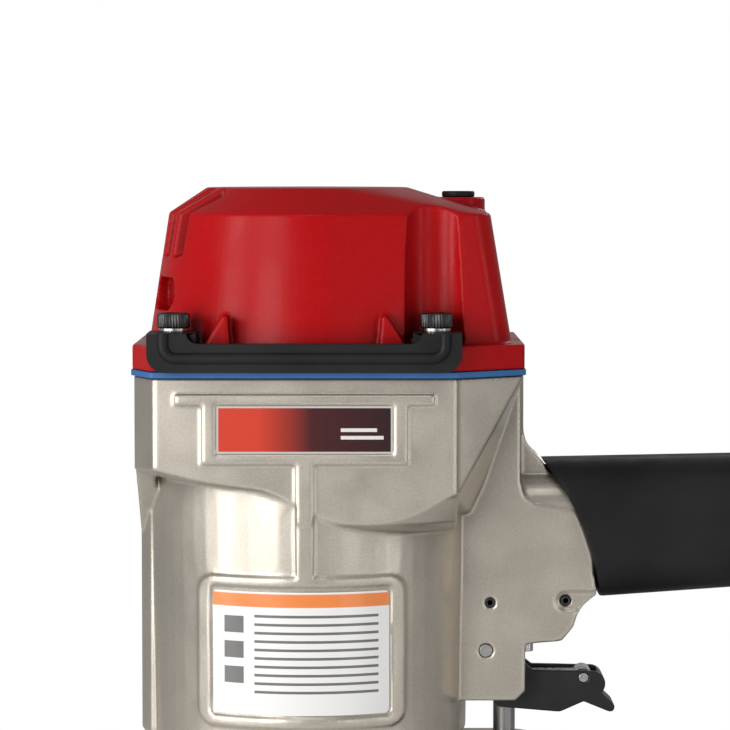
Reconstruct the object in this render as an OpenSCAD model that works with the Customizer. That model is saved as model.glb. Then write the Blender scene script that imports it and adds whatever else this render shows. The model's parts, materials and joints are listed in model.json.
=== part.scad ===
// Pneumatic coil nailer, driver axis on Z, handle towards +X, contact tip's lower face at Z 0.

/* [Drive] */
// Radius of the cylinder's bore
bore_r = 26; // [25.5:0.1:26.4]
// Travel of the piston and its driver
stroke = 89.5; // [85:0.5:89.5]
// Radius of the drive channel in the nose
channel_r = 4.2; // [4:0.05:4.3]
// Travel of the contact arm
arm_travel = 9.5; // [8:0.1:9.5]

/* [Body] */
// Radius of the barrel where it meets the head
barrel_r = 51.8; // [51:0.1:52]
// Height of the joint face between body and gasket
deck_z = 254.5; // [254:0.1:255]
// Half width of the web that carries the trigger and handle
web_half = 17; // [16.5:0.1:18]
// Length of the handle from the driver axis to its open end
handle_end = 206; // [202:1:210]

/* [Cap] */
// Height of the cap above its gasket
cap_h = 55.7; // [54:0.1:57]
// Thickness of the cap's flange
flange_t = 7.7; // [7:0.1:8.5]
// Distance of the cap bolts from the driver axis, along X
bolt_x = 40.2; // [40:0.1:41]
// Distance of the cap bolts from the driver axis, along Y
bolt_y = 42; // [41.5:0.1:42.5]

/* [Magazine] */
// Outer radius of the magazine canister
can_r = 50; // [49:0.5:50]
// Length of the longest nail it holds
nail_l = 70; // [60:1:70]

/* [Hidden] */
$fn = 64;
eps = 0.01;

gasket_t = 1.8;
cap_z = deck_z + gasket_t;
cap_top = cap_z + cap_h;
deck_half = 52;

body_base_z = 126;
floor_z = 132;
cap_wall = 5.5;

cyl_wall = 2;
cyl_z = 150;
cyl_top = 258;
piston_z = 243;
piston_t = 14;
bumper_top = 153;
blade_r = 3.3;
blade_tip_z = 99;

head_valve_r = 31.9;
post_r = 11.9;

tip_z = 10;
feed_z = 26;
feed_top = 100;
nose_flange_z = 119;

valve_x = 69.8;
trigger_pin = [56.5, 166];
lever_pin = [88, 156];
arm_x = 63;
valve_pins = [[57.8, 181.2], [81.7, 181.8]];

can = [99, 8];
can_floor = 8;
can_top = 102;
hinge = [153.5, 8];
door_pin = [-9, -14];
feed_axis = [19, 62];
dial_y = 20.5;

handle_z = 206;
grip_t = 2.5;

// ---------- shared shapes ----------

module ring(ro, ri, h) {
    difference() {
        cylinder(r = ro, h = h);
        translate([0, 0, -1]) cylinder(r = ri, h = h + 2);
    }
}

module torus(major, minor) {
    rotate_extrude() translate([major, 0]) circle(r = minor, $fn = 24);
}

// A cylinder along Y, centred on the middle plane
module cross_pin(x, z, r, half) {
    translate([x, half, z]) rotate([90, 0, 0]) cylinder(r = r, h = 2 * half);
}

// A plate drawn in the XZ plane, from y0 to y1
module side_plate(y0, y1) {
    translate([0, y1, 0]) rotate([90, 0, 0]) linear_extrude(y1 - y0) children();
}

module both_sides() {
    children();
    mirror([0, 1, 0]) children();
}

// Round wire wound into a compression spring of height h
function coil_points(r, wire, turns, h, n, s) = [
    for (i = [0 : turns * n], k = [0 : s - 1])
        let (a = 360 * i / n, b = 360 * k / s)
        [(r + wire * cos(b)) * cos(a), (r + wire * cos(b)) * sin(a), wire + (h - 2 * wire) * i / (turns * n)
            + wire * sin(b)]
];

module coil_spring(r, wire, turns, h) {
    n = 12;
    s = 6;
    last = turns * n;
    polyhedron(
        points = coil_points(r, wire, turns, h, n, s),
        faces = concat(
            [[for (k = [0 : s - 1]) k]],
            [for (i = [0 : last - 1], k = [0 : s - 1])
                let (j = (k + 1) % s)
                [i * s + k, (i + 1) * s + k, (i + 1) * s + j, i * s + j]],
            [[for (k = [s - 1 : -1 : 0]) last * s + k]]
        ));
}

// ---------- head: outline shared by body, gasket and cap ----------

head_front = -53.3;
head_rear = 67.6;
panel_x = 46.6;

module head_outline(shrink = 0) {
    offset(r = 1.5, $fn = 24) offset(delta = -1.5 - shrink)
        polygon([
            [-panel_x, -deck_half], [panel_x, -deck_half], [head_rear, -36.5], [head_rear, 36.5],
            [panel_x, deck_half], [-panel_x, deck_half], [head_front, 37], [head_front, -37]
        ]);
}

module bolt_places() {
    for (x = [-bolt_x, bolt_x], y = [-bolt_y, bolt_y]) translate([x, y, 0]) children();
}

// ---------- cap ----------

shoulder_z = cap_top - 8;

// One level of the dome: a circle on the driver axis with two corners behind it
module dome_level(z, r, corner, corner_r) {
    translate([0, 0, z]) {
        cylinder(r = r, h = eps, $fn = 128);
        for (s = [-1, 1]) translate([corner[0], s * corner[1], 0]) cylinder(r = corner_r, h = eps, $fn = 32);
    }
}

module dome(skin = 0) {
    hull() {
        dome_level(cap_z, 51.3 - skin, [56.2, 27], 9 - skin);
        dome_level(shoulder_z, 43.9 - skin, [48.3, 25.5], 9 - skin);
        translate([0, 0, cap_top - skin - eps]) cylinder(r = 31.8 - skin, h = eps, $fn = 128);
    }
}

// Small three-cornered buttress on the flange beside a bolt
module wall_gusset() {
    z = cap_z + flange_t;
    side_plate(-50.3, -40) polygon([[22.6, z - 0.5], [23.5, z + 9.4], [24.9, z + 9.4], [31.2, z - 0.5]]);
}

slot_pitch = 8.8;
slot_w = 5.6;

// Upright slots over the front shoulder, each as deep in the wall as the next
module exhaust_slots() {
    for (k = [-2.5 : 2.5]) {
        y = k * slot_pitch;
        translate([45 - sqrt(45 * 45 - y * y), y + slot_w / 2, 0]) rotate([90, 0, 0]) linear_extrude(slot_w)
            polygon([[-60, 294], [-46.2, 290.2], [-41, 292.5], [-39.4, 301], [-30.8, 307.4], [-30.8, 320], [-60, 320]]);
    }
}

// Round-ended pocket low on each side of the front
module exhaust_pockets() {
    z = cap_z + 22.5;
    for (s = [-1, 1]) rotate([0, 0, 180 + s * 17.5]) {
        rotate([0, 0, -7]) rotate_extrude(angle = 14) translate([43.4, z - 5.2]) square([20, 10.4]);
        for (t = [-7, 7]) rotate([0, 0, t]) translate([43.4, 0, z]) rotate([0, 90, 0]) cylinder(r = 5.2, h = 20);
    }
}

module cylinder_cap() {
    color("firebrick") difference() {
        union() {
            translate([0, 0, cap_z]) linear_extrude(flange_t) head_outline();
            difference() {
                dome();
                bolt_places() translate([0, 0, cap_z]) cylinder(r = 9.6, h = 60);
            }
            both_sides() {
                wall_gusset();
                mirror([1, 0, 0]) wall_gusset();
            }
            translate([48, 0, 290]) cylinder(r = 8.5, h = cap_top - 3.1 - 290);
        }
        difference() {
            translate([0, 0, -0.05]) dome(skin = cap_wall);
            bolt_places() translate([0, 0, cap_z - 1]) cylinder(r = 13.5, h = 60);
            translate([0, 0, cap_z + 6]) ring(head_valve_r + 3.6, head_valve_r + 0.1, 60);
            translate([0, 0, 262]) cylinder(r = post_r, h = 60);
            translate([0, 0, 288]) cylinder(r = head_valve_r + 3.6, h = 3);
        }
        translate([48, 0, cap_top - 8.1]) cylinder(r = 3, h = 10);
        bolt_places() translate([0, 0, cap_z - 1]) cylinder(r = 3.3, h = 30);
        exhaust_slots();
        exhaust_pockets();
    }
}

module cap_plug() {
    color("black") union() {
        translate([48, 0, cap_top - 3.1]) cylinder(r = 5.2, h = 1.9);
        translate([48, 0, cap_top - 8]) cylinder(r = 2.95, h = 5);
    }
}

module cap_gasket() {
    color("steelblue") translate([0, 0, deck_z]) difference() {
        linear_extrude(gasket_t) head_outline(-0.4);
        translate([0, 0, -1]) cylinder(r = 46.6, h = 5);
        bolt_places() translate([0, 0, -1]) cylinder(r = 3.3, h = 5);
    }
}

module cap_bolts() {
    head_z = cap_z + flange_t + 5.4;
    color("dimgray") bolt_places() difference() {
        union() {
            translate([0, 0, head_z]) cylinder(r = 5, h = 4.6);
            translate([0, 0, 236]) cylinder(r = 3, h = head_z - 236 + 1);
        }
        translate([0, 0, head_z + 1.8]) cylinder(r = 2.31, h = 4, $fn = 6);
    }
}

module cap_washers() {
    color("silver") bolt_places() translate([0, 0, cap_z + flange_t + 4.3]) ring(4.6, 3.1, 1.1);
}

// ---------- side bumpers ----------

bumper_y = deck_half + 0.05;
bumper_mid_z = cap_z + 4.5;

module bumper_outline() {
    top = cap_z + flange_t + 4.2;
    low = cap_z + 0.1;
    difference() {
        hull() {
            for (s = [-1, 1]) translate([s * 42.2, low + 5.5]) circle(r = 5.5, $fn = 32);
            translate([-47.7, top - 2]) square([95.4, 2]);
        }
        hull() for (s = [-1, 1]) {
            translate([s * 32, cap_z + flange_t + 4.9]) circle(r = 3.8, $fn = 32);
            translate([s * 32, top + 10]) circle(r = 3.8, $fn = 32);
        }
    }
}

// Half-round bead that follows the bumper round both corners
module bumper_bead() {
    r = 1.75;
    bend = 4;
    x = 42.7;
    translate([-x + bend, 0, bumper_mid_z]) rotate([0, 90, 0]) cylinder(r = r, h = 2 * (x - bend));
    for (s = [-1, 1]) {
        translate([s * x, 0, bumper_mid_z + bend]) cylinder(r = r, h = 3.6);
        translate([s * (x - bend), 0, bumper_mid_z + bend])
            rotate([90, 0, 0]) rotate([0, 0, s > 0 ? -90 : 180]) rotate_extrude(angle = 90)
                translate([bend, 0]) circle(r = r, $fn = 24);
    }
}

module left_bumper() {
    foot_z = cap_z + flange_t;
    color("black") difference() {
        union() {
            side_plate(-bumper_y - 4.6, -bumper_y) bumper_outline();
            translate([0, -bumper_y - 4.3, 0]) bumper_bead();
            for (s = [-1, 1]) {
                translate([s * 40.4 - 7.4, -bumper_y - 1, foot_z + 0.05]) cube([14.8, 16.2, 4.2]);
                translate([s * 34.5 - 2, -bumper_y + 8, foot_z + 0.05]) cube([4, 7, 2.2]);
            }
        }
        for (s = [-1, 1]) translate([s * bolt_x, -bolt_y, foot_z - 1]) cylinder(r = 3.3, h = 20);
    }
}

module right_bumper() {
    mirror([0, 1, 0]) left_bumper();
}

// ---------- body casting ----------

// The flared underside of the head, cut by one revolved profile set a little behind the barrel
module head_underside() {
    translate([18, 0, 0]) rotate_extrude($fn = 96)
        polygon([
            [30, 150], [30, 205], [44, 206.5], [49, 208], [52, 209.8], [55, 214.2], [57.5, 218], [60, 220.2],
            [64, 221.2], [72, 223], [83, 226.6], [110, 236], [110, 150]
        ]);
}

// Blend from the front corners of the head down to the spine
module front_blend() {
    hull() {
        translate([head_front + 0.3, -33, 229]) cube([6, 66, 3]);
        translate([-52.5, -11, 203]) cube([6, 22, 3]);
    }
}

// Corner behind each side panel, drawn in towards the web
module rear_corner() {
    hull() {
        for (s = [-1, 1]) {
            translate([panel_x - 1, s * (deck_half - 1.2), 218]) cylinder(r = 0.7, h = deck_z - 218, $fn = 16);
            translate([head_rear - 1.9, s * 35, deck_z - 1]) cylinder(r = 1.4, h = 1, $fn = 16);
            translate([51.3, s * 13, 210]) sphere(r = 1, $fn = 16);
        }
        translate([30, -10, 205]) cube([10, 20, deck_z - 205]);
    }
}

module web_profile() {
    polygon([
        [40, 150], [66, 150], [69, 153], [69, 168], [80.5, 169], [84.2, 173.5], [85.4, 177.4], [87.6, 180.6],
        [91.6, 183.8], [90.2, 194], [86.6, 205], [84.4, 210], [71.4, 212.4], [68.4, 215.4], [67.4, 220],
        [67.4, deck_z], [58, deck_z], [40, 205]
    ]);
}

// Narrower wall behind the web that sweeps down onto the handle
module neck_profile() {
    difference() {
        polygon([
            [50, 190], [88, 190], [84, 211], [79, 219.4], [73.6, 226], [73.6, 237], [68.5, 237],
            [68.5, deck_z], [50, deck_z]
        ]);
        translate([80.1, 236.3]) circle(r = 11.6);
    }
}

// Rounded section of the handle, standing across X
module handle_section(x, z, half_h, half_w) {
    translate([x, 0, z]) rotate([90, 0, 90]) linear_extrude(eps)
        offset(r = 12, $fn = 36) square([2 * half_w - 24, 2 * half_h - 24], center = true);
}

module handle_solid(grow) {
    hull() {
        handle_section(62, handle_z - 3.4, 20.1 + grow, web_half - 0.3 + grow);
        handle_section(138, handle_z, 18.2 + grow, 16.4 + grow);
    }
    hull() {
        handle_section(138, handle_z, 18.2 + grow, 16.4 + grow);
        handle_section(handle_end, handle_z, 20 + grow, 17.6 + grow);
    }
}

module rib_layout() {
    difference() {
        union() {
            translate([-39.2, 246.5]) square([78.4, 2.8]);
            translate([-31, 228.4]) square([62, 20]);
            translate([-2.5, 190]) square([5, 40]);
            translate([-33.2 + 5, 147 + 5]) offset(r = 5, $fn = 32) square([54, 36.4]);
        }
        translate([-27.3, 231.2]) square([54.6, 15.3]);
        translate([-29.4 + 2, 150 + 2]) offset(r = 2, $fn = 24) square([52.2, 36.7]);
        translate([-60, 249.3]) square([120, 30]);
    }
}

module side_ribs() {
    intersection() {
        side_plate(-60, -30) rib_layout();
        union() {
            translate([0, 0, 140]) cylinder(r1 = 51.5, r2 = 52.7, h = 80);
            translate([-46, -53, 210]) cube([92, 20, 50]);
        }
    }
}

module valve_pin_recess() {
    p = valve_pins[1];
    side_plate(-20, -web_half + 1) union() {
        translate([p[0], p[1]]) circle(r = 3.1);
        translate([p[0], p[1] - 3.1]) square([10, 6.2]);
    }
}

module body_outside() {
    difference() {
        union() {
            translate([0, 0, 196]) linear_extrude(deck_z - 196) offset(r = 1.2, $fn = 16)
                polygon([
                    [-panel_x + 1.2, -deck_half + 1.2], [panel_x - 1.2, -deck_half + 1.2],
                    [panel_x - 1.2, deck_half - 1.2], [-panel_x + 1.2, deck_half - 1.2],
                    [head_front + 1.7, 36], [head_front + 1.7, -36]
                ]);
            rear_corner();
        }
        head_underside();
    }
    translate([0, 0, 140]) cylinder(r1 = barrel_r - 1.2, r2 = barrel_r, h = 90);
    translate([0, 0, body_base_z]) cylinder(r1 = 43, r2 = barrel_r - 1.2, h = 14);
    translate([0, 0, 140]) linear_extrude(deck_z - 140)
        polygon([[-52.6, -9], [-52.6, 9], [-49.2, 18], [-30, 18], [-30, -18], [-49.2, -18]]);
    side_plate(-8, 8) polygon([[-52.4, 150], [-52.2, 140], [-46, body_base_z], [-30, body_base_z], [-30, 150]]);
    front_blend();
    side_plate(-web_half, web_half) web_profile();
    side_plate(-10.5, 10.5) neck_profile();
    handle_solid(0);
    translate([handle_end - 18, -11, handle_z - 21]) cube([18, 22, 6]);
    translate([44, -9, 128]) cube([19, 18, 9]);
    translate([arm_x, 0, 128]) cylinder(r = 9, h = 9);
    both_sides() side_ribs();
}

module body_inside() {
    difference() {
        translate([0, 0, floor_z]) cylinder(r = 46.6, h = 200);
        translate([0, 0, 204]) ring(60, 30.1, 5);
        translate([0, 0, floor_z - 1]) ring(34, 28.15, 22);
    }
    // air passage from the handle to the barrel
    translate([40, -9, 192]) cube([38, 18, 26]);
    hull() {
        handle_section(70, handle_z - 1, 15, 12.6);
        handle_section(138, handle_z, 14.2, 12.5);
    }
    hull() {
        handle_section(138, handle_z, 14.2, 12.5);
        handle_section(handle_end + 1, handle_z, 15, 13);
    }
    translate([0, 0, body_base_z - 1]) cylinder(r = 9.1, h = 20);
    // seat of the trigger valve
    translate([valve_x, 0, 150]) cylinder(r = 13, h = 36.5);
    translate([valve_x, 0, 180]) cylinder(r = 11, h = 24);
    // slot the trigger swings in
    translate([52.1, -8.6, 140]) cube([50, 17.2, 32.5]);
    translate([arm_x, 0, 120]) cylinder(r = 3.56, h = 60);
}

module main_body() {
    color("darkgray") difference() {
        body_outside();
        body_inside();
        bolt_places() translate([0, 0, 232]) cylinder(r = 3.1, h = 40);
        for (x = [-22, 22], y = [-17, 17]) translate([x, y, 120]) cylinder(r = 2.6, h = 11.4);
        for (p = valve_pins) cross_pin(p[0], p[1], 1.55, 40);
        both_sides() valve_pin_recess();
        cross_pin(trigger_pin[0], trigger_pin[1], 2.05, 40);
        for (x = [-1, 1]) translate([handle_end - 9 + 5 * x, 0, 180]) cylinder(r = 2.1, h = 12);
        for (y = [-12.2, 12.2], z = [-14, 14])
            translate([handle_end - 14, y, handle_z + z]) rotate([0, 90, 0]) cylinder(r = 1.6, h = 20);
    }
}

module name_plate() {
    color("maroon") side_plate(-deck_half - 0.5, -deck_half)
        translate([-26.8, 231.6]) square([53.6, 14.5]);
}

// A label wrapped on the barrel inside its raised frame
module information_label() {
    color("white") intersection() {
        side_plate(-60, -30) translate([-28.4 + 1.5, 151 + 1.5]) offset(r = 1.5, $fn = 24) square([51.2, 35]);
        translate([0, 0, 145]) difference() {
            cylinder(r1 = 50.98, r2 = 51.66, h = 50);
            translate([0, 0, -0.5]) cylinder(r1 = 50.7, r2 = 51.38, h = 51);
        }
    }
}

// ---------- drive ----------

module cylinder_liner() {
    color("silver") translate([0, 0, cyl_z]) difference() {
        ring(bore_r + cyl_wall, bore_r, cyl_top - cyl_z);
        for (a = [0 : 45 : 315]) rotate([0, 0, a]) translate([20, 0, 38]) rotate([0, 90, 0]) cylinder(r = 1.5, h = 12);
        for (a = [22.5 : 45 : 340]) rotate([0, 0, a]) translate([20, 0, 9]) rotate([0, 90, 0]) cylinder(r = 1.8, h = 12);
    }
}

module cylinder_seals() {
    color("black") {
        translate([0, 0, 206.5]) torus(bore_r + cyl_wall + 1.05, 1);
        translate([0, 0, cyl_z + 5.2]) torus(bore_r + cyl_wall + 1.05, 1);
    }
}

module check_band() {
    color("dimgray") translate([0, 0, cyl_z + 34]) ring(bore_r + cyl_wall + 1.5, bore_r + cyl_wall + 0.02, 8);
}

module piston_bumper() {
    color("goldenrod") translate([0, 0, floor_z]) difference() {
        union() {
            cylinder(r = bore_r - 0.3, h = bumper_top - floor_z - 6);
            translate([0, 0, 15 - eps]) cylinder(r1 = bore_r - 0.3, r2 = bore_r - 5, h = bumper_top - floor_z - 15 + eps);
        }
        translate([0, 0, -1]) cylinder(r = 6.2, h = 30);
    }
}

module piston() {
    color("lightgray") translate([0, 0, piston_z]) difference() {
        union() {
            cylinder(r = bore_r - 0.05, h = piston_t);
            translate([0, 0, -7]) cylinder(r = 5.6, h = 8);
        }
        translate([0, 0, 5.4]) ring(bore_r + 1, bore_r - 2.5, 3);
        translate([0, 0, 3]) cylinder(r = 14, h = 20);
        translate([0, 0, -8]) cylinder(r = blade_r, h = 30);
    }
}

module piston_ring() {
    color("black") translate([0, 0, piston_z + 6.9]) torus(bore_r - 1.3, 1.15);
}

module driver_blade() {
    color("slategray") union() {
        translate([0, 0, blade_tip_z]) cylinder(r = blade_r, h = piston_z + 3 - blade_tip_z);
        translate([0, 0, piston_z + 3]) cylinder(r = 6, h = 3);
    }
}

module head_valve() {
    color("gainsboro") translate([0, 0, cyl_top + 0.05]) difference() {
        cylinder(r = head_valve_r - 0.02, h = 14);
        translate([0, 0, -1]) cylinder(r = post_r + 0.06, h = 20);
        translate([0, 0, 4]) ring(head_valve_r - 4, post_r + 3, 20);
        translate([0, 0, 8]) ring(head_valve_r + 2, head_valve_r - 1.9, 3);
    }
}

module head_valve_ring() {
    color("black") translate([0, 0, cyl_top + 9.55]) torus(head_valve_r - 0.95, 0.9);
}

module head_valve_spring() {
    color("silver") translate([0, 0, cyl_top + 4.1]) coil_spring(20, 1, 5, 288 - cyl_top - 4.2);
}

module piston_stop() {
    color("black") translate([0, 0, 257.4]) cylinder(r = post_r - 2, h = 4.58);
}

// ---------- nose and door ----------

nose_bolt_places = [[-22, -17], [-22, 17], [22, -17], [22, 17]];

module nose() {
    color("gray") difference() {
        union() {
            translate([0, 0, nose_flange_z]) linear_extrude(body_base_z - nose_flange_z - 0.05) offset(r = 6, $fn = 32)
                square([50, 38], center = true);
            translate([0, 0, body_base_z - 1]) cylinder(r = 9, h = 6);
            translate([-11, -9, 22]) cube([20, 18, nose_flange_z - 21]);
            translate([0, 0, tip_z]) cylinder(r = 8, h = 14);
            translate([0, 4.2, 22]) cube([48.8, 4.6, 81]);
            translate([0, -9, 21.5]) cube([48.8, 17.8, 4]);
            translate([20, -14.5, 100.4]) cube([11, 23.3, 3.6]);
            for (z = [21.5, 99.2]) translate([0, 0, z]) linear_extrude(z < 50 ? 4 : 5.4) union() {
                translate(door_pin) circle(r = 4.5);
                translate([door_pin[0] - 2, -13]) square([9, 8]);
            }
        }
        translate([0, 0, 5]) cylinder(r = channel_r, h = 140);
        translate([0, -channel_r, feed_z]) cube([50, 2 * channel_r, feed_top - feed_z]);
        translate([-3.4, -20, 25.7]) cube([60, 20 - channel_r, 73.3]);
        translate([6.3, 4, 53]) cube([21.7, 20, 18]);
        translate([door_pin[0], door_pin[1], 10]) cylinder(r = 2.05, h = 110);
        for (p = nose_bolt_places) translate([p[0], p[1], 110]) cylinder(r = 2.7, h = 30);
    }
}

module nose_bolts() {
    color("dimgray") for (p = nose_bolt_places) translate([p[0], p[1], 0]) difference() {
        union() {
            translate([0, 0, nose_flange_z - 5]) cylinder(r = 4.25, h = 5);
            translate([0, 0, nose_flange_z - 1]) cylinder(r = 2.5, h = 13);
        }
        translate([0, 0, nose_flange_z - 6]) cylinder(r = 2.3, h = 3.4, $fn = 6);
    }
}

module nose_door() {
    color("gray") difference() {
        union() {
            translate([-3, -9.4, 26.2]) cube([50, 9.4 - channel_r - 0.02, 72.4]);
            translate([door_pin[0], door_pin[1], 26.2]) cylinder(r = 4.5, h = 72.4);
            for (z = [30, 56, 82]) translate([door_pin[0], -15, z]) cube([12, 6, 13]);
            for (x = [19.5, 29.7]) translate([x, -15.5, 80]) cube([2, 7, 12]);
            translate([18, -14.5, 54]) cube([3, 6, 3]);
            translate([18, -14.5, 67]) cube([3, 6, 3]);
        }
        translate([door_pin[0], door_pin[1], 10]) cylinder(r = 2.05, h = 110);
        translate([3.5, -10, 57]) cube([18, 10, 10]);
        translate([15, -12.6, 86]) rotate([0, 90, 0]) cylinder(r = 1.55, h = 20);
        translate([19.5, -12.4, 50]) cylinder(r = 1.05, h = 25);
    }
}

module door_hinge_pin() {
    color("silver") translate([door_pin[0], door_pin[1], 19]) cylinder(r = 2, h = 87);
}

module door_latch() {
    color("dimgray") difference() {
        union() {
            translate([22, -17.6, 74]) cube([7.2, 2.6, 32]);
            translate([22, -17.6, 104.3]) cube([7.2, 9, 2]);
            translate([22, -15.2, 84]) cube([7.2, 4.6, 6.5]);
            translate([21.9, -19.5, 72.5]) cube([7.4, 4.5, 5]);
        }
        translate([15, -12.6, 86]) rotate([0, 90, 0]) cylinder(r = 1.55, h = 20);
    }
}

module latch_pin() {
    color("silver") translate([19.4, -12.6, 86]) rotate([0, 90, 0]) cylinder(r = 1.5, h = 12.4);
}

module check_pawl() {
    color("silver") translate([0, 0, 57.3]) linear_extrude(9.4) difference() {
        polygon([[7, -2.9], [9.4, -2.9], [13, -7], [19, -10.6], [21.2, -11.4], [21.2, -14], [16, -14], [10.5, -10.5], [7, -6]]);
        translate([19.5, -12.4]) circle(r = 1.05, $fn = 24);
    }
}

module check_pawl_pin() {
    color("silver") translate([19.5, -12.4, 53.5]) cylinder(r = 1, h = 17);
}

// ---------- nail feeder ----------

module feed_cylinder() {
    y = feed_axis[0];
    z = feed_axis[1];
    color("gray") difference() {
        union() {
            translate([26, y, z]) rotate([0, 90, 0]) cylinder(r = 9.4, h = 21);
            translate([28.3, 8.85, z - 9]) cube([14, 10, 18]);
        }
        translate([29.5, y, z]) rotate([0, 90, 0]) cylinder(r = 7, h = 50);
        translate([20, y, z]) rotate([0, 90, 0]) cylinder(r = 3.06, h = 20);
    }
}

module feed_end_plug() {
    color("dimgray") translate([0, feed_axis[0], feed_axis[1]]) difference() {
        translate([44, 0, 0]) rotate([0, 90, 0]) cylinder(r = 6.99, h = 3);
        translate([40, 0, 0]) rotate([0, 90, 0]) cylinder(r = 1.2, h = 10);
    }
}

module feed_piston() {
    color("silver") translate([0, feed_axis[0], feed_axis[1]]) union() {
        translate([29.8, 0, 0]) rotate([0, 90, 0]) cylinder(r = 6.95, h = 3.5);
        translate([17.8, 0, 0]) rotate([0, 90, 0]) cylinder(r = 3, h = 13);
        difference() {
            translate([11.5, -6.5, -6]) cube([6.7, 10, 12]);
            translate([10, -7, -3.2]) cube([7.4, 8, 6.4]);
            translate([14.5, -3.8, -10]) cylinder(r = 1.05, h = 20);
        }
    }
}

module feed_spring() {
    color("silver") translate([33.4, feed_axis[0], feed_axis[1]]) rotate([0, 90, 0]) coil_spring(4.8, 0.5, 3, 10.5);
}

module feed_pawl() {
    color("silver") translate([0, 0, feed_axis[1] - 3]) linear_extrude(6) difference() {
        polygon([[12.2, 2.4], [14.6, 2.4], [17, 9], [17, 16.8], [12.2, 16.8], [12.4, 8]]);
        translate([14.5, 15.2]) circle(r = 1.05, $fn = 24);
    }
}

module feed_pawl_pin() {
    color("silver") translate([14.5, 15.2, feed_axis[1] - 6]) cylinder(r = 1, h = 12);
}

// ---------- contact arm ----------

module contact_arm() {
    color("gray") difference() {
        union() {
            translate([-9, 9.4, 50]) cube([12, 3, 55]);
            for (z = [52, 72]) translate([-9, 9.4, z]) cube([12, dial_y - 5.4, 3.5]);
            translate([0, 0, 105]) linear_extrude(3.8)
                polygon([
                    [-9, 9.4], [12, 9.4], [30, 4], [50, -4], [arm_x + 5, -4], [arm_x + 5, 4], [54, 5], [34, 9.5],
                    [14, 11.8], [8, 17], [-9, 17]
                ]);
            translate([arm_x, 0, 105]) cylinder(r = 3.5, h = 45);
            translate([arm_x, 0, 105]) cylinder(r = 5.5, h = 5);
        }
        translate([-3, dial_y, 40]) cylinder(r = 2.6, h = 40);
    }
}

module contact_foot() {
    color("silver") difference() {
        union() {
            ring(12, 8.3, 9);
            translate([-9, 9.4, 2]) cube([12, 3, 44.5]);
            translate([-9, 9.4, 41]) cube([12, dial_y - 5.4, 5]);
            translate([-3, dial_y, 41]) cylinder(r = 2.5, h = 29);
        }
        translate([0, 0, -1]) cylinder(r = 8.3, h = 30);
    }
}

module depth_dial() {
    color("goldenrod") translate([-3, dial_y, 57.5]) difference() {
        cylinder(r = 7.5, h = 10);
        translate([0, 0, -1]) cylinder(r = 2.56, h = 20);
        for (a = [0 : 30 : 330]) rotate([0, 0, a]) translate([8.1, 0, -1]) cylinder(r = 1.3, h = 20, $fn = 24);
    }
}

module arm_spring() {
    color("silver") translate([arm_x, 0, 110.1]) coil_spring(5.2, 0.6, 6, 17.8);
}

// ---------- magazine ----------

module can_wall(y_low, y_high) {
    intersection() {
        translate([can[0], can[1], 0]) ring(can_r, can_r - 2.5, 200);
        translate([0, y_low, 0]) cube([200, y_high - y_low, 200]);
    }
}

module magazine_canister() {
    color("silver") difference() {
        union() {
            intersection() {
                can_wall(can[1] + 0.3, 80);
                translate([0, -90, can_floor]) cube([200, 180, can_top - can_floor]);
            }
            translate([can[0], can[1], can_floor]) cylinder(r = can_r, h = 3);
            translate([can[0], can[1], can_floor]) cylinder(r = 7, h = 50);
            for (z = [18, 88]) translate([0, 0, z]) union() {
                translate([hinge[0], hinge[1], 0]) cylinder(r = 4.5, h = 8);
                translate([hinge[0] - 6, hinge[1] + 0.3, 0]) cube([9, 6, 8]);
            }
            // boss that bolts to the rear arm
            difference() {
                translate([138, 22, 30]) cube([22, 12, 50]);
                translate([can[0], can[1], 0]) cylinder(r = can_r - 1, h = 120);
            }
            // lugs that bolt to the nose's guide wall
            for (z = [28, 78]) translate([34, 8.85, z]) cube([15.6, 3.5, 20]);
        }
        translate([hinge[0], hinge[1], 0]) cylinder(r = 2.05, h = 120);
        for (z = [42, 68]) translate([156.5, 15, z]) rotate([-90, 0, 0]) cylinder(r = 2.6, h = 30);
    }
}

module magazine_cover() {
    color("dimgray") difference() {
        union() {
            intersection() {
                can_wall(-80, can[1] - 0.3);
                translate([0, -90, can_floor + 3.3]) cube([200, 180, can_top + 0.6 - can_floor - 3.3]);
            }
            translate([can[0], can[1], can_top + 0.4]) cylinder(r = can_r, h = 1.8);
            translate([0, 0, 28]) union() {
                translate([hinge[0], hinge[1], 0]) cylinder(r = 4.5, h = 58);
                translate([hinge[0] - 6, hinge[1] - 6, 0]) cube([7, 5.7, 58]);
            }
        }
        translate([hinge[0], hinge[1], 0]) cylinder(r = 2.05, h = 120);
        // mouth the nail strip leaves by
        translate([40, -11, 0]) cube([14, 40, can_top]);
        // window that shows the nails left
        side_plate(-60, -34) {
            for (s = [-1, 1]) translate([can[0] + 18 * s, 52]) circle(r = 6);
            translate([can[0] - 18, 46]) square([36, 12]);
        }
    }
}

module magazine_hinge_pin() {
    color("silver") translate([hinge[0], hinge[1], 17]) cylinder(r = 2, h = 80);
}

module nail_platform() {
    color("orange") translate([can[0], can[1], blade_tip_z - 2 - nail_l - 3]) difference() {
        cylinder(r = 40, h = 2.6);
        translate([0, 0, -1]) cylinder(r = 7.1, h = 10);
        for (a = [0 : 60 : 300]) rotate([0, 0, a]) translate([24, 0, -1]) cylinder(r = 7, h = 10);
    }
}

module magazine_foot() {
    color("black") translate([can[0], can[1], 0]) difference() {
        cylinder(r1 = can_r - 3, r2 = can_r - 1, h = can_floor - 0.02);
        translate([0, 0, -1]) cylinder(r = 34, h = 20);
    }
}

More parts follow.
